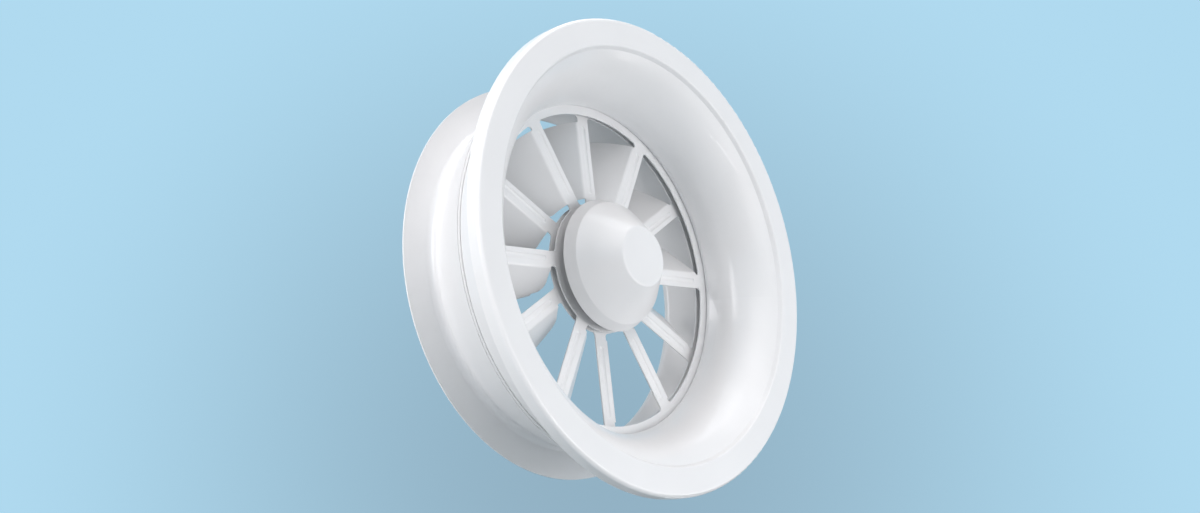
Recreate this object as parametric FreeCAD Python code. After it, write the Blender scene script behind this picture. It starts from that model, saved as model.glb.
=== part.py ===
import FreeCAD, Part
import math
import os

# Swirl air outlet of painted sheet metal, with its air axis horizontal and its mouth towards -Y.
# The origin is the centre of the rear mounting face. Lengths are in millimetres, angles in degrees.
# The part is built as on a lathe: axis Z, rear face at z = 0 and mouth up, then turned to its frame.

# Overall
depth = 145.0
clearance = 0.3

# Front nozzle
nozzle_wall = 2.0
rim_radius = 250.0
rim_lip_depth = 15.0
rim_bend = 4.0
step_radius = 220.0
step_width = 2.6
step_depth = 5.0
step_bend = 2.2
crease_bend = 1.0
throat_radius = 177.5
throat_cone_length = 10.0
throat_cone_angle = 10.0
throat_edge_bend = 2.2
throat_return_depth = 5.5
throat_return_width = 1.0
throat_bend = 2.5
throat_flange_width = 20.5

# Swirl wheels
wheel_setback = 78.0
wheel_wall = 1.5
wheel_gap = 6.5
front_ring_inner_radius = 169.0
rear_ring_inner_radius = 171.0
wheel_outer_radius = 196.0
hub_disc_radius = 70.0
wheel_phase = 9.0
spokes_per_wheel = 6
spoke_width = 16.0
spoke_offset = 4.0
spoke_corner = 4.0
bead_width = 6.0
bead_depth = 1.3
bead_start_radius = 86.0
bead_end_radius = 157.0

# Blades
blade_angle = 45.0
blade_bend = 4.5
blade_hub_gap = 7.5
blade_outer_radius = 163.5
blade_hub_width = 25.0
blade_ring_width = 58.0
blade_corner = 12.0
blade_lip_bend = 5.0
blade_lip_angle = 45.0
blade_lip_margin = 18.0

# Collar between nozzle and rear housing
collar_wall = 1.5
collar_front_gap = 6.5
collar_flange_width = 15.0
collar_bend = 3.0
collar_rear_flange_inner_radius = 183.0

# Rear housing
housing_wall = 1.5
seam_radius = 213.0
seam_setback = 69.0
housing_neck_radius = 178.0
housing_bend = 6.0
mount_flange_radius = 216.5
seam_bead_width = 2.4

# Ring fasteners
ring_screw_count = 12
ring_screw_circle_radius = 189.0
ring_screw_radius = 2.5
ring_hole_radius = 2.8
ring_head_radius = 4.5
ring_head_height = 3.5
ring_head_rounding = 1.5
ring_socket_flats = 3.0
ring_socket_depth = 2.0
ring_washer_radius = 5.0
ring_washer_wall = 1.0
ring_spacer_radius = 4.5
ring_nut_radius = 4.0
ring_nut_height = 4.0
screw_end_margin = 1.0

# Hub fasteners
bolt_radius = 4.0
hub_hole_radius = 4.25
bolt_head_flats = 13.0
bolt_head_height = 5.3
bolt_end_setback = 30.0
hub_washer_radius = 12.0
hub_washer_wall = 1.6
hub_nut_height = 6.5
hub_spacer_radius = 20.0

# Hub cap
cap_wall = 1.2
cap_rear_radius = 71.0
cap_rear_setback = 65.5
cap_shoulder_radius = 65.7
cap_shoulder_setback = 53.0
cap_face_radius = 32.0
cap_face_setback = 19.0
cap_bend = 3.0
standoff_radius = 8.0
standoff_flange_radius = 16.0
standoff_flange_wall = 2.0
standoff_end_setback = 52.0
standoff_bore_margin = 3.0
lock_nut_height = 4.5

# Heights above the rear face
mouth_z = depth
wheel_z = mouth_z - wheel_setback
throat_z = wheel_z + throat_return_depth
rear_wheel_z = wheel_z - wheel_wall - wheel_gap
stack_z = rear_wheel_z - wheel_wall
seam_z = mouth_z - seam_setback

UP = FreeCAD.Vector(0, 0, 1)
ORIGIN = FreeCAD.Vector(0, 0, 0)


def direction(start, end):
    length = math.hypot(end[0] - start[0], end[1] - start[1])
    return ((end[0] - start[0]) / length, (end[1] - start[1]) / length)


def turn_between(before, after):
    """Signed angle between two directions, positive to the left."""
    cross = before[0] * after[1] - before[1] * after[0]
    dot = before[0] * after[0] + before[1] * after[1]
    return math.atan2(cross, dot)


def point_in(plane, u, v):
    """Point at (u, v) in a plane given by its origin and two unit vectors."""
    origin, along_u, along_v = plane
    return origin + along_u * u + along_v * v


SECTION = (ORIGIN, FreeCAD.Vector(1, 0, 0), UP)


def bent_edges(corners, plane=SECTION):
    """Lines and tangent arcs through corners, each a (u, v, bend radius)."""
    edges = []
    pen = corners[0][:2]
    for previous, corner, following in zip(corners, corners[1:], corners[2:]):
        before = direction(previous, corner)
        after = direction(corner, following)
        turn = turn_between(before, after)
        reach = corner[2] * math.tan(abs(turn) / 2)
        arc_start = (corner[0] - before[0] * reach, corner[1] - before[1] * reach)
        arc_end = (corner[0] + after[0] * reach, corner[1] + after[1] * reach)
        edges += straight_edge(pen, arc_start, plane)
        if corner[2] > 0:
            edges.append(corner_arc(corner, before, after, turn, arc_start, arc_end, plane))
        pen = arc_end
    return edges + straight_edge(pen, corners[-1][:2], plane)


def straight_edge(start, end, plane):
    """One edge in a list, or none where two arcs meet."""
    if math.hypot(end[0] - start[0], end[1] - start[1]) < 1e-6:
        return []
    return [Part.LineSegment(point_in(plane, *start), point_in(plane, *end)).toShape()]


def corner_arc(corner, before, after, turn, arc_start, arc_end, plane):
    inward = (after[0] - before[0], after[1] - before[1])
    size = math.hypot(*inward)
    to_arc = corner[2] / math.cos(turn / 2) - corner[2]
    middle = (corner[0] + inward[0] / size * to_arc, corner[1] + inward[1] / size * to_arc)
    arc = Part.Arc(point_in(plane, *arc_start), point_in(plane, *middle), point_in(plane, *arc_end))
    return arc.toShape()


def offset_corners(corners, distance):
    """The same bent line, moved to its left by distance."""
    moved = []
    for i, (u, v, radius) in enumerate(corners):
        before = direction(corners[max(i - 1, 0)], corners[max(i, 1)])
        after = direction(corners[min(i, len(corners) - 2)], corners[min(i + 1, len(corners) - 1)])
        turn = turn_between(before, after)
        mitre = distance / math.cos(turn / 2)
        across = (-(before[1] + after[1]), before[0] + after[0])
        size = math.hypot(*across)
        new_radius = radius - distance * math.copysign(1, turn) if radius > 0 else 0.0
        moved.append((u + across[0] / size * mitre, v + across[1] / size * mitre, new_radius))
    return moved


def sheet_section(corners, wall, plane=SECTION):
    """Section of a bent sheet from its visible line, with the wall to the line's left."""
    hidden = offset_corners(corners, wall)
    edges = bent_edges(corners, plane) + bent_edges(hidden, plane)
    edges += straight_edge(corners[0][:2], hidden[0][:2], plane)
    edges += straight_edge(corners[-1][:2], hidden[-1][:2], plane)
    return Part.Face(Part.Wire(Part.__sortEdges__(edges)))


def spun_sheet(corners, wall):
    """Sheet turned about the axis."""
    return sheet_section(corners, wall).revolve(ORIGIN, UP, 360)


def turned_solid(points):
    """Solid turned about the axis from a closed polygon of (radius, z)."""
    corners = [point_in(SECTION, *point) for point in points]
    return Part.Face(Part.makePolygon(corners + corners[:1])).revolve(ORIGIN, UP, 360)


def tube(outer_radius, inner_radius, bottom, height):
    base = FreeCAD.Vector(0, 0, bottom)
    outer = Part.makeCylinder(outer_radius, height, base, UP)
    return outer.cut(Part.makeCylinder(inner_radius, height, base, UP))


def hexagon(across_flats, bottom, height):
    """Hexagonal prism on the axis."""
    radius = across_flats / 2 / math.cos(math.pi / 6)
    points = []
    for i in range(7):
        angle = math.radians(60 * i)
        points.append(FreeCAD.Vector(radius * math.cos(angle), radius * math.sin(angle), bottom))
    return Part.Face(Part.makePolygon(points)).extrude(UP * height)


def turned_about_axis(shape, angle):
    copy = shape.copy()
    copy.rotate(ORIGIN, UP, angle)
    return copy


def on_screw_circle(shape):
    """A shape on the axis, copied to each ring screw."""
    copies = []
    for i in range(ring_screw_count):
        copy = shape.translated(FreeCAD.Vector(ring_screw_circle_radius, 0, 0))
        copies.append(turned_about_axis(copy, wheel_phase + 360.0 / ring_screw_count * (i + 0.5)))
    return copies


def with_screw_holes(sheet):
    """Holes through the flanges and wheel rings that the ring screws clamp, and no further forward."""
    return sheet.cut(on_screw_circle(Part.makeCylinder(ring_hole_radius, wheel_z + nozzle_wall)))


def bell_corner():
    """Corner of the one arc from the step's crease to the straight cone before the throat."""
    slope = math.radians(throat_cone_angle)
    cone_end = (
        throat_radius + throat_cone_length * math.sin(slope),
        throat_z + throat_cone_length * math.cos(slope))
    crease = (step_radius - step_width, mouth_z - step_depth)
    across = crease[0] - cone_end[0]
    rise = crease[1] - cone_end[1]
    reach = (across ** 2 + rise ** 2) / (2 * (across * math.sin(slope) + rise * math.cos(slope)))
    corner = (cone_end[0] + reach * math.sin(slope), cone_end[1] + reach * math.cos(slope))
    turn = math.atan2(crease[0] - corner[0], crease[1] - corner[1]) - slope
    return (corner[0], corner[1], (reach - crease_bend) / math.tan(turn / 2))


def make_front_nozzle():
    corners = [
        (rim_radius, mouth_z - rim_lip_depth, 0),
        (rim_radius, mouth_z, rim_bend),
        (step_radius, mouth_z, step_bend),
        (step_radius - step_width, mouth_z - step_depth, crease_bend),
        bell_corner(),
        (throat_radius, throat_z, throat_edge_bend),
        (throat_radius + throat_return_width, wheel_z, throat_bend),
        (throat_radius + throat_flange_width, wheel_z, 0),
    ]
    return with_screw_holes(spun_sheet(corners, nozzle_wall))


def housing_slope():
    """Radius that the cone loses for each millimetre towards the rear."""
    return (seam_radius - housing_neck_radius) / (seam_z - housing_wall)


def collar_gap():
    """Radial distance from the cone's outside to the collar's outside in the lap."""
    return (housing_wall + clearance) * math.hypot(1, housing_slope())


def make_front_collar():
    flange_front_z = mouth_z - nozzle_wall
    flange_rear_z = stack_z - collar_wall
    rear_radius = seam_radius - collar_gap() - housing_slope() * (seam_z - flange_rear_z)
    front_radius = step_radius + collar_front_gap
    corners = [
        (collar_rear_flange_inner_radius, flange_rear_z, 0),
        (rear_radius, flange_rear_z, collar_bend),
        (seam_radius - collar_gap(), seam_z, 0),
        (front_radius, flange_front_z - collar_wall, collar_bend),
        (front_radius + collar_flange_width, flange_front_z - collar_wall, 0),
    ]
    return with_screw_holes(spun_sheet(corners, collar_wall))


def make_rear_housing():
    corners = [
        (seam_radius, seam_z, 0),
        (housing_neck_radius, housing_wall, housing_bend),
        (mount_flange_radius, housing_wall, 0),
    ]
    return spun_sheet(corners, -housing_wall)


def make_seam_bead():
    """Bead of sealant round the collar, against the edge of the rear housing."""
    housing_edge = housing_wall * housing_slope() / math.hypot(1, housing_slope())
    rear_z = seam_z + housing_edge + clearance
    front_z = rear_z + seam_bead_width
    rise = mouth_z - nozzle_wall - collar_wall - seam_z
    slope = (step_radius + collar_front_gap - seam_radius + collar_gap()) / rise
    rear_inner = seam_radius - collar_gap() + clearance + slope * (rear_z - seam_z)
    front_inner = rear_inner + slope * seam_bead_width
    shoulder_z = front_z - (seam_radius - front_inner) / 2
    return turned_solid([
        (rear_inner, rear_z),
        (seam_radius, rear_z),
        (seam_radius, shoulder_z),
        ((seam_radius + front_inner) / 2, front_z),
        (front_inner, front_z),
    ])


def spoke_strip(front_z):
    """Flat strip from inside the hub disc to inside the ring, along +X."""
    start = hub_disc_radius - spoke_width
    length = wheel_outer_radius - spoke_width - start
    corner = FreeCAD.Vector(start, -spoke_offset - spoke_width / 2, front_z - wheel_wall)
    return Part.makeBox(length, spoke_width, wheel_wall, corner)


def is_spoke_corner(edge, ring_inner_radius):
    """True for the upright edges where a spoke meets the hub disc or the ring."""
    start, end = edge.firstVertex().Point, edge.lastVertex().Point
    if math.hypot(start.x - end.x, start.y - end.y) > 1e-6:
        return False
    radius = math.hypot(start.x, start.y)
    return min(abs(radius - hub_disc_radius), abs(radius - ring_inner_radius)) < 1e-3


def wheel_blank(front_z, ring_inner_radius):
    """Flat wheel of hub disc, spokes and ring."""
    hub = tube(hub_disc_radius, hub_hole_radius, front_z - wheel_wall, wheel_wall)
    ring = tube(wheel_outer_radius, ring_inner_radius, front_z - wheel_wall, wheel_wall)
    blank = ring.fuse([hub] + on_each_spoke(spoke_strip(front_z), 0)).removeSplitter()
    corners = [edge for edge in blank.Edges if is_spoke_corner(edge, ring_inner_radius)]
    return blank.makeFillet(spoke_corner, corners)


def on_each_spoke(shape, phase):
    pitch = 360.0 / spokes_per_wheel
    return [turned_about_axis(shape, phase + pitch * i) for i in range(spokes_per_wheel)]


def capsule(radius, height):
    """Round-ended rod along the spoke's bead, centred at height."""
    start = FreeCAD.Vector(bead_start_radius, -spoke_offset, height)
    end = FreeCAD.Vector(bead_end_radius, -spoke_offset, height)
    rod = Part.makeCylinder(radius, bead_end_radius - bead_start_radius, start, FreeCAD.Vector(1, 0, 0))
    return rod.fuse([Part.makeSphere(radius, start), Part.makeSphere(radius, end)])


def bead_radius():
    """Radius of the bead's front surface, from its width and depth."""
    half_width = bead_width / 2
    return (half_width ** 2 + bead_depth ** 2) / (2 * bead_depth)


def spoke_bead_back(front_z):
    """Part of the pressed bead that stands out behind the spoke."""
    outside = capsule(bead_radius() + wheel_wall, front_z + bead_radius() - bead_depth)
    size = bead_end_radius * 2
    corner = FreeCAD.Vector(-size, -size, front_z - wheel_wall / 2)
    return outside.cut(Part.makeBox(size * 2, size * 2, size, corner))


def spoke_bead_front(front_z):
    """Hollow of the pressed bead."""
    return capsule(bead_radius(), front_z + bead_radius() - bead_depth)


def blade_plane(front_z):
    """Plane of the blade's front surface: x along the spoke, u away from it, from the end of the bend."""
    angle = math.radians(blade_angle)
    bend_start = spoke_width / 2 - spoke_offset
    origin = FreeCAD.Vector(
        0, bend_start + blade_bend * math.sin(angle), front_z - blade_bend * (1 - math.cos(angle)))
    return (origin, FreeCAD.Vector(1, 0, 0), FreeCAD.Vector(0, math.cos(angle), -math.sin(angle)))


def blade_normal():
    """Unit vector out of the blade's front surface."""
    angle = math.radians(blade_angle)
    return FreeCAD.Vector(0, math.sin(angle), math.cos(angle))


def flat_centre_u():
    """Place of the wheel's centre in the blade's plane, as the flat sheet has it before bending."""
    return -(spoke_width / 2 - spoke_offset) - math.radians(blade_angle) * blade_bend


def blade_free_corner():
    """Place in the blade's plane where its hub-side arc meets its free edge."""
    hub_side_radius = hub_disc_radius + blade_hub_gap
    return (math.sqrt(hub_side_radius ** 2 - (blade_hub_width - flat_centre_u()) ** 2), blade_hub_width)


def blade_slope():
    """Width that the blade gains for each millimetre from its free corner to the ring."""
    return (blade_ring_width - blade_hub_width) / (blade_outer_radius - blade_free_corner()[0])


def bent_strip(front_z):
    """Sheet bent back from the spoke's edge, as wide as the blade at its widest."""
    angle = math.radians(blade_angle)
    bend_start = spoke_width / 2 - spoke_offset
    corner_y = bend_start + blade_bend * math.tan(angle / 2)
    reach = blade_ring_width * 2
    corners = [
        (bend_start - spoke_width / 4, front_z, 0),
        (corner_y, front_z, blade_bend),
        (corner_y + reach * math.cos(angle), front_z - reach * math.sin(angle), 0),
    ]
    plane = (ORIGIN, FreeCAD.Vector(0, 1, 0), UP)
    return sheet_section(corners, -wheel_wall, plane).extrude(FreeCAD.Vector(blade_outer_radius, 0, 0))


def blade_arc(front_z, radius):
    """Cylinder square to the blade, about the wheel's centre in the flat sheet."""
    centre = point_in(blade_plane(front_z), 0, flat_centre_u()) - blade_normal() * blade_ring_width
    return Part.makeCylinder(radius, blade_ring_width * 2, centre, blade_normal())


def blade_outline(front_z):
    """Prism square to the blade, with its sloping free edge."""
    corner_x, corner_u = blade_free_corner()
    start = corner_x - blade_corner
    end = blade_outer_radius + blade_corner
    low = -blade_bend - spoke_width / 2
    outline = [
        (start, low),
        (start, corner_u - blade_slope() * blade_corner),
        (end, corner_u + blade_slope() * (end - corner_x)),
        (end, low),
        (start, low),
    ]
    plane = blade_plane(front_z)
    face = Part.Face(Part.makePolygon([point_in(plane, *corner) for corner in outline]))
    face.translate(blade_normal() * -blade_ring_width / 2)
    return face.extrude(blade_normal() * blade_ring_width)


def with_free_corner_rounded(plate, front_z):
    corner = point_in(blade_plane(front_z), *blade_free_corner())
    edge = min(plate.Edges, key=lambda edge: (edge.CenterOfMass - corner).Length)
    return plate.makeFillet(blade_corner, [edge])


def blade_lip(front_z):
    """Narrow lip along the free edge, bent further back than the blade."""
    slope = math.atan(blade_slope())
    plane = blade_plane(front_z)
    along = plane[1] * math.cos(slope) + plane[2] * math.sin(slope)
    across = plane[2] * math.cos(slope) - plane[1] * math.sin(slope)
    origin = point_in(plane, *blade_free_corner()) + along * blade_lip_margin
    angle = math.radians(blade_lip_angle)
    reach = blade_lip_bend * math.tan(angle / 2)
    corners = [
        (-wheel_wall / 2, 0, 0),
        (reach, 0, blade_lip_bend),
        (reach + reach * math.cos(angle), -reach * math.sin(angle), 0),
    ]
    section = sheet_section(corners, -wheel_wall, (origin, across, blade_normal()))
    return section.extrude(along * blade_outer_radius)


def make_blade(front_z):
    """Blade between two arcs about the wheel's centre, with its lip."""
    plate = bent_strip(front_z).common(blade_outline(front_z))
    plate = plate.cut(blade_arc(front_z, hub_disc_radius + blade_hub_gap))
    plate = with_free_corner_rounded(plate, front_z)
    return plate.fuse(blade_lip(front_z)).common(blade_arc(front_z, blade_outer_radius))


def make_wheel(front_z, ring_inner_radius, phase):
    """One pressed wheel: flat blank, beads in its spokes and blades bent back from them."""
    wheel = turned_about_axis(wheel_blank(front_z, ring_inner_radius), phase)
    wheel = wheel.fuse(on_each_spoke(make_blade(front_z), phase))
    wheel = wheel.fuse(on_each_spoke(spoke_bead_back(front_z), phase))
    wheel = wheel.cut(on_each_spoke(spoke_bead_front(front_z), phase)).removeSplitter()
    return with_screw_holes(wheel)


def make_front_swirl_wheel():
    return make_wheel(wheel_z, front_ring_inner_radius, wheel_phase)


def make_rear_swirl_wheel():
    """Same wheel, turned by half a spoke pitch so that its blades show between those in front."""
    return make_wheel(rear_wheel_z, rear_ring_inner_radius, wheel_phase + 180.0 / spokes_per_wheel)


def make_wheel_screws():
    """Round heads behind the stack, shanks through it and through the nuts."""
    head_top = stack_z - collar_wall - ring_washer_wall
    head_bottom = head_top - ring_head_height
    head = Part.makeCylinder(ring_head_radius, ring_head_height, FreeCAD.Vector(0, 0, head_bottom))
    rim = min(head.Edges, key=lambda edge: edge.CenterOfMass.z)
    head = head.makeFillet(ring_head_rounding, [rim])
    head = head.cut(hexagon(ring_socket_flats, head_bottom, ring_socket_depth))
    shank_end = wheel_z + nozzle_wall + ring_nut_height + screw_end_margin
    shank = Part.makeCylinder(ring_screw_radius, shank_end - head_top, FreeCAD.Vector(0, 0, head_top))
    return Part.makeCompound(on_screw_circle(head.fuse(shank)))


def make_wheel_washers():
    bottom = stack_z - collar_wall - ring_washer_wall
    washer = tube(ring_washer_radius, ring_hole_radius, bottom, ring_washer_wall)
    return Part.makeCompound(on_screw_circle(washer))


def make_wheel_spacers():
    return Part.makeCompound(on_screw_circle(
        tube(ring_spacer_radius, ring_hole_radius, rear_wheel_z, wheel_gap)))


def make_wheel_nuts():
    return Part.makeCompound(on_screw_circle(
        tube(ring_nut_radius, ring_hole_radius, wheel_z + nozzle_wall, ring_nut_height)))


def make_hub_bolt():
    """Hexagon head behind the rear wheel, shank forward to the hub cap."""
    head_top = stack_z - hub_washer_wall
    head = hexagon(bolt_head_flats, head_top - bolt_head_height, bolt_head_height)
    length = mouth_z - bolt_end_setback - head_top
    return head.fuse(Part.makeCylinder(bolt_radius, length, FreeCAD.Vector(0, 0, head_top)))


def hub_nut(bottom, height):
    bore = Part.makeCylinder(hub_hole_radius, height, FreeCAD.Vector(0, 0, bottom))
    return hexagon(bolt_head_flats, bottom, height).cut(bore)


def make_hub_rear_washer():
    return tube(hub_washer_radius, hub_hole_radius, stack_z - hub_washer_wall, hub_washer_wall)


def make_hub_spacer():
    return tube(hub_spacer_radius, hub_hole_radius, rear_wheel_z, wheel_gap)


def make_hub_front_washer():
    return tube(hub_washer_radius, hub_hole_radius, wheel_z, hub_washer_wall)


def make_hub_nut():
    return hub_nut(wheel_z + hub_washer_wall, hub_nut_height)


def make_cap_lock_nut():
    return hub_nut(mouth_z - standoff_end_setback - lock_nut_height, lock_nut_height)


def make_cap_standoff():
    """Flanged tube between the lock nut and the inside of the cap's face."""
    top = mouth_z - cap_face_setback - cap_wall
    bottom = mouth_z - standoff_end_setback
    body = Part.makeCylinder(standoff_radius, top - bottom, FreeCAD.Vector(0, 0, bottom))
    flange = Part.makeCylinder(
        standoff_flange_radius, standoff_flange_wall, FreeCAD.Vector(0, 0, top - standoff_flange_wall))
    bore_length = mouth_z - bolt_end_setback + standoff_bore_margin - bottom
    bore = Part.makeCylinder(hub_hole_radius, bore_length, FreeCAD.Vector(0, 0, bottom))
    return body.fuse(flange).cut(bore)


def make_hub_cap():
    corners = [
        (cap_rear_radius, mouth_z - cap_rear_setback, 0),
        (cap_shoulder_radius, mouth_z - cap_shoulder_setback, cap_bend),
        (cap_face_radius, mouth_z - cap_face_setback, cap_bend),
        (0, mouth_z - cap_face_setback, 0),
    ]
    return spun_sheet(corners, cap_wall)


NODES = {
    "front_nozzle": make_front_nozzle,
    "front_collar": make_front_collar,
    "seam_bead": make_seam_bead,
    "rear_housing": make_rear_housing,
    "front_swirl_wheel": make_front_swirl_wheel,
    "rear_swirl_wheel": make_rear_swirl_wheel,
    "hub_cap": make_hub_cap,
    "wheel_screws": make_wheel_screws,
    "wheel_washers": make_wheel_washers,
    "wheel_spacers": make_wheel_spacers,
    "wheel_nuts": make_wheel_nuts,
    "hub_bolt": make_hub_bolt,
    "hub_rear_washer": make_hub_rear_washer,
    "hub_spacer": make_hub_spacer,
    "hub_front_washer": make_hub_front_washer,
    "hub_nut": make_hub_nut,
    "cap_lock_nut": make_cap_lock_nut,
    "cap_standoff": make_cap_standoff,
}

os.makedirs("parts", exist_ok=True)
for name, make in NODES.items():
    shape = make()
    shape.rotate(ORIGIN, FreeCAD.Vector(1, 0, 0), 90)
    shape.exportStep("parts/" + name + ".step")
    print(name, shape.isValid(), len(shape.Solids), round(shape.Volume), shape.BoundBox)
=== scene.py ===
import math

import bpy
from mathutils import Matrix, Vector


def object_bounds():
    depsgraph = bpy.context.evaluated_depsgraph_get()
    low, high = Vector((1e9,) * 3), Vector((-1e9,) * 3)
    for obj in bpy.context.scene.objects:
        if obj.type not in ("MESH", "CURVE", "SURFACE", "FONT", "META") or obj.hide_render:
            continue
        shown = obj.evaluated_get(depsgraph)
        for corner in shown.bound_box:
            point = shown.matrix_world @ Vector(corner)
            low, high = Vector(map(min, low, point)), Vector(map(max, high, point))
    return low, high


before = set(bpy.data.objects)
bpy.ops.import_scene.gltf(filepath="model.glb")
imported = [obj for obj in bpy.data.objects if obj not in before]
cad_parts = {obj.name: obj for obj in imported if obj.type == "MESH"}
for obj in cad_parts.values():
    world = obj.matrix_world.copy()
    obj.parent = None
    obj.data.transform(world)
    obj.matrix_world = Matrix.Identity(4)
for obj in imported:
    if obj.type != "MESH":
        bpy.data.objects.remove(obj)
cad_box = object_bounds()

# The object hangs free with its mouth towards -Y. The camera looks up at it from the front left.
LENS_MM = 42.0
SENSOR_MM = 36.0
CLIP_START = 0.01
VIEW_AZIMUTH = math.radians(47.55)
VIEW_ELEVATION = math.radians(-18.17)
FACE_DISTANCE = 1.4355
FACE_RIGHT_OF_CENTRE = 0.0590
FACE_ABOVE_CENTRE = 0.0046

# Floor and backdrop. The backdrop has a painted shadow, a darker part given by its direction below
# the view.
FLOOR_DROP = 0.60
FLOOR_SIZE = 12.0
FLOOR_COLOUR = (0.46, 0.52, 0.55, 1.0)
FLOOR_COLOUR_SPREAD = 1.03
FLOOR_NOISE_SCALE = 0.7
FLOOR_ROUGHNESS = 0.9
BACKDROP_PALE = (0.434, 0.700, 0.870, 1.0)
BACKDROP_PAINTED_SHADOW = (0.290, 0.443, 0.553, 1.0)
PAINTED_SHADOW_BELOW_VIEW = 0.155
PAINTED_SHADOW_REACH = math.radians(25)
PAINTED_SHADOW_FALLOFF = 2.0

# Every lamp looks at this point, and the world adds weak even light.
LAMP_AIM = Vector((0.0, -0.07, 0.0))
LAMP_COLOUR = (1.0, 0.975, 0.98)
WORLD_LIGHT = 0.12

PAINTED = [
    "front_nozzle", "front_collar", "rear_housing",
    "front_swirl_wheel", "rear_swirl_wheel", "hub_cap",
]
SEALED = ["seam_bead"]


def grey(value):
    return (value, value, value, 1.0)


class Graph:
    """Short way to build a node material."""

    def __init__(self, name):
        self.material = bpy.data.materials.new(name)
        self.material.use_nodes = True
        self.tree = self.material.node_tree
        self.shader = self.tree.nodes["Principled BSDF"]

    def node(self, kind, **inputs):
        made = self.tree.nodes.new(kind)
        for key, value in inputs.items():
            made.inputs[key.replace("_", " ")].default_value = value
        return made

    def link(self, output, target):
        self.tree.links.new(output, target)

    def set(self, **values):
        for key, value in values.items():
            self.shader.inputs[key.replace("_", " ")].default_value = value

    def noise(self, scale, detail=2.0):
        """Noise in the frame's metres."""
        place = self.tree.nodes.new("ShaderNodeNewGeometry")
        noise = self.node("ShaderNodeTexNoise", Scale=scale, Detail=detail, Roughness=0.5)
        self.link(place.outputs["Position"], noise.inputs["Vector"])
        return noise.outputs["Fac"]

    def ramp(self, factor, low, high, low_at=0.3, high_at=0.7):
        ramp = self.tree.nodes.new("ShaderNodeValToRGB")
        ramp.color_ramp.elements[0].position = low_at
        ramp.color_ramp.elements[1].position = high_at
        ramp.color_ramp.elements[0].color = low
        ramp.color_ramp.elements[1].color = high
        self.link(factor, ramp.inputs["Fac"])
        return ramp.outputs["Color"]

    def bump(self, height, strength, distance):
        bump = self.node("ShaderNodeBump", Strength=strength, Distance=distance)
        self.link(height, bump.inputs["Height"])
        self.link(bump.outputs["Normal"], self.shader.inputs["Normal"])

    def vary_colour(self, noise, low, high):
        self.link(self.ramp(noise, low, high), self.shader.inputs["Base Color"])

    def vary_roughness(self, noise, low, high):
        self.link(self.ramp(noise, grey(low), grey(high)), self.shader.inputs["Roughness"])


def white_paint():
    """Smooth glossy white powder coat with a faint orange-peel surface."""
    paint = Graph("white_powder_coat")
    paint.vary_colour(
        paint.noise(scale=14.0),
        low=(0.79, 0.79, 0.795, 1.0),
        high=(0.81, 0.81, 0.815, 1.0))
    paint.vary_roughness(paint.noise(scale=35.0), low=0.36, high=0.42)
    paint.set(IOR=1.5, Coat_Weight=0.35, Coat_Roughness=0.08)
    paint.bump(paint.noise(scale=260.0), strength=0.04, distance=0.0002)
    return paint.material


def zinc_plate():
    """Bright grey plating with fine crystal grain, for the screws and what goes with them."""
    zinc = Graph("zinc_plated_steel")
    zinc.vary_colour(
        zinc.noise(scale=180.0, detail=4.0),
        low=(0.50, 0.51, 0.52, 1.0),
        high=(0.62, 0.63, 0.64, 1.0))
    zinc.vary_roughness(zinc.noise(scale=300.0), low=0.28, high=0.42)
    zinc.set(Metallic=1.0)
    zinc.bump(zinc.noise(scale=900.0), strength=0.1, distance=0.0002)
    return zinc.material


def sealant():
    """White elastic filler, laid by hand and so a little uneven."""
    filler = Graph("white_sealant")
    filler.vary_colour(filler.noise(scale=120.0), low=grey(0.72), high=grey(0.78))
    filler.set(Roughness=0.5)
    filler.bump(filler.noise(scale=260.0), strength=0.3, distance=0.001)
    return filler.material


def pale_floor():
    """Matt floor whose shade drifts slowly."""
    floor = Graph("pale_floor")
    lighter = tuple(min(1.0, channel * FLOOR_COLOUR_SPREAD) for channel in FLOOR_COLOUR)
    floor.vary_colour(floor.noise(scale=FLOOR_NOISE_SCALE), low=FLOOR_COLOUR, high=lighter)
    floor.set(Roughness=FLOOR_ROUGHNESS)
    return floor.material


def dress_nodes():
    """Paint on the sheets, sealant on the seam, zinc on every fastener."""
    paint = white_paint()
    zinc = zinc_plate()
    filler = sealant()
    for name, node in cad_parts.items():
        if name in PAINTED:
            material = paint
        elif name in SEALED:
            material = filler
        else:
            material = zinc
        for slot in node.material_slots:
            slot.material = material


def add_floor():
    """Pale floor well under the object."""
    low, _ = cad_box
    height = low[2] - FLOOR_DROP
    bpy.ops.mesh.primitive_plane_add(size=FLOOR_SIZE, location=(0, 0, height))
    floor = bpy.context.object
    floor.name = "floor"
    floor.data.materials.append(pale_floor())


def view_axes():
    """Right, up and backward directions of the camera."""
    back = Vector((
        -math.sin(VIEW_AZIMUTH) * math.cos(VIEW_ELEVATION),
        -math.cos(VIEW_AZIMUTH) * math.cos(VIEW_ELEVATION),
        math.sin(VIEW_ELEVATION)))
    right = Vector((math.cos(VIEW_AZIMUTH), -math.sin(VIEW_AZIMUTH), 0.0))
    return right, back.cross(right), back


def add_camera():
    """Camera that sees the centre of the object's face a little right of and above its own centre."""
    right, up, back = view_axes()
    low, _ = cad_box
    face_centre = Vector((0.0, low[1], 0.0))
    place = face_centre + back * FACE_DISTANCE
    place -= right * FACE_RIGHT_OF_CENTRE + up * FACE_ABOVE_CENTRE
    turn = Matrix((right, up, back)).transposed().to_4x4()
    data = bpy.data.cameras.new("camera")
    data.lens = LENS_MM
    data.sensor_width = SENSOR_MM
    data.clip_start = CLIP_START
    camera = bpy.data.objects.new("camera", data)
    camera.matrix_world = Matrix.Translation(place) @ turn
    bpy.context.collection.objects.link(camera)
    bpy.context.scene.camera = camera


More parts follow.
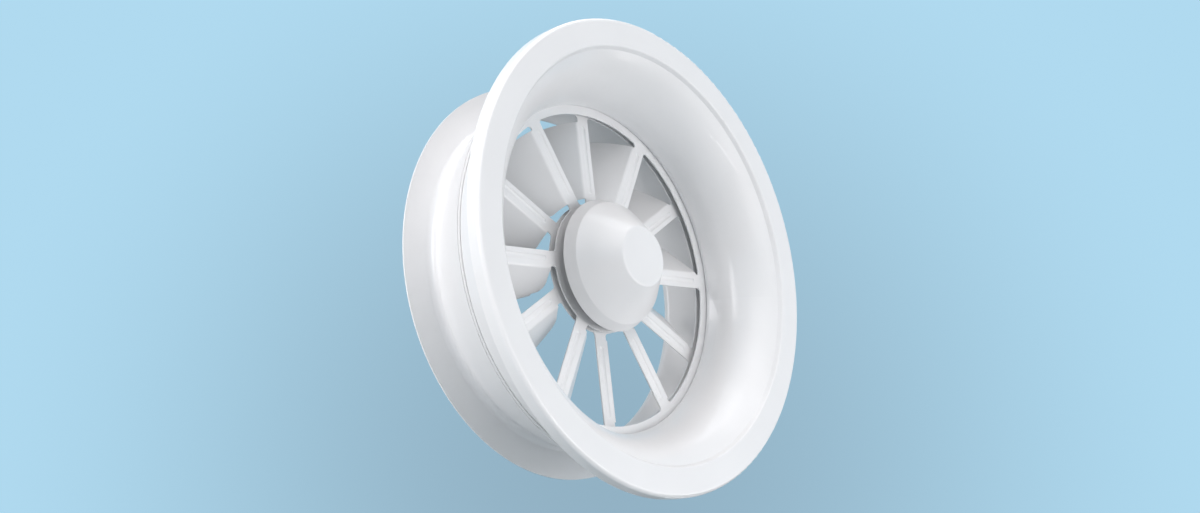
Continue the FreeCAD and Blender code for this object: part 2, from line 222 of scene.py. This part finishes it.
def add_area_light(name, place, size, power):
    """Soft box that looks at the middle of the object. Metres and watts."""
    data = bpy.data.lights.new(name, "AREA")
    data.shape = "RECTANGLE"
    data.size, data.size_y = size
    data.energy = power
    data.color = LAMP_COLOUR
    lamp = bpy.data.objects.new(name, data)
    lamp.visible_camera = False
    lamp.location = place
    lamp.rotation_euler = (LAMP_AIM - lamp.location).to_track_quat("-Z", "Y").to_euler()
    bpy.context.collection.objects.link(lamp)
    return lamp


def add_strip_light(name, start, end, width, power):
    """Thin lamp along a line, turned towards the object. Metres and watts."""
    start, end = Vector(start), Vector(end)
    middle = (start + end) / 2
    lamp = add_area_light(name, middle, ((end - start).length, width), power)
    along = (end - start).normalized()
    away = middle - LAMP_AIM
    away = (away - along * away.dot(along)).normalized()
    turn = Matrix((along, away.cross(along), away)).transposed()
    lamp.rotation_euler = turn.to_euler()


def add_lights():
    """Large soft boxes, and one thin strip low in front that draws a faint line in the bell."""
    add_area_light("left", place=(-2.5, 0.05, 0.6), size=(1.6, 1.6), power=62)
    add_area_light("top", place=(0.3, -0.5, 2.6), size=(2.0, 1.4), power=23)
    add_area_light("top_front", place=(-0.2, -1.7, 2.3), size=(2.4, 1.6), power=20)
    add_area_light("front_left_high", place=(-1.3, -2.0, 1.6), size=(1.6, 1.6), power=13)
    add_area_light("front_low", place=(0.2, -2.2, -0.45), size=(2.4, 0.8), power=12)
    add_area_light("right_low", place=(1.5, -1.9, -0.4), size=(2.0, 0.8), power=19)
    add_strip_light(
        "strip",
        start=(-0.01, -1.035, -0.262),
        end=(0.148, -0.885, -0.48),
        width=0.015,
        power=0.4)


def backdrop_colour(tree):
    """Pale blue with a painted shadow that darkens it towards the middle of the view, below the
    object.
    """
    link = tree.links.new
    place = tree.nodes.new("ShaderNodeTexCoord")
    _, up, back = view_axes()
    nearness = tree.nodes.new("ShaderNodeVectorMath")
    nearness.operation = "DOT_PRODUCT"
    nearness.inputs[1].default_value = (-up * PAINTED_SHADOW_BELOW_VIEW - back).normalized()
    link(place.outputs["Generated"], nearness.inputs[0])
    scale = tree.nodes.new("ShaderNodeMapRange")
    scale.inputs["From Min"].default_value = math.cos(PAINTED_SHADOW_REACH)
    scale.inputs["From Max"].default_value = 1.0
    link(nearness.outputs["Value"], scale.inputs["Value"])
    falloff = tree.nodes.new("ShaderNodeMath")
    falloff.operation = "POWER"
    falloff.inputs[1].default_value = PAINTED_SHADOW_FALLOFF
    link(scale.outputs["Result"], falloff.inputs[0])
    # Painted shadow: the backdrop turns to the darker colour near the direction just below the view.
    ramp = tree.nodes.new("ShaderNodeValToRGB")
    ramp.color_ramp.elements[0].color = BACKDROP_PALE
    ramp.color_ramp.elements[1].color = BACKDROP_PAINTED_SHADOW
    link(falloff.outputs["Value"], ramp.inputs["Fac"])
    return ramp.outputs["Color"]


def seen_directly(tree):
    """One for rays of the camera and of mirror-like or clear surfaces, otherwise zero."""
    path = tree.nodes.new("ShaderNodeLightPath")
    total = path.outputs["Is Camera Ray"]
    for kind in ("Is Glossy Ray", "Is Transmission Ray"):
        larger = tree.nodes.new("ShaderNodeMath")
        larger.operation = "MAXIMUM"
        tree.links.new(total, larger.inputs[0])
        tree.links.new(path.outputs[kind], larger.inputs[1])
        total = larger.outputs["Value"]
    return total


def add_world():
    """Weak even light, with the blue backdrop where the camera and reflections look."""
    world = bpy.data.worlds.new("studio")
    world.use_nodes = True
    bpy.context.scene.world = world
    tree = world.node_tree
    link = tree.links.new
    light = tree.nodes["Background"]
    light.inputs["Color"].default_value = grey(1.0)
    light.inputs["Strength"].default_value = WORLD_LIGHT
    shown = tree.nodes.new("ShaderNodeBackground")
    link(backdrop_colour(tree), shown.inputs["Color"])
    mix = tree.nodes.new("ShaderNodeMixShader")
    link(seen_directly(tree), mix.inputs["Fac"])
    link(light.outputs["Background"], mix.inputs[1])
    link(shown.outputs["Background"], mix.inputs[2])
    link(mix.outputs["Shader"], tree.nodes["World Output"].inputs["Surface"])


dress_nodes()
add_floor()
add_camera()
add_lights()
add_world()
bpy.context.scene.view_settings.view_transform = "Standard"
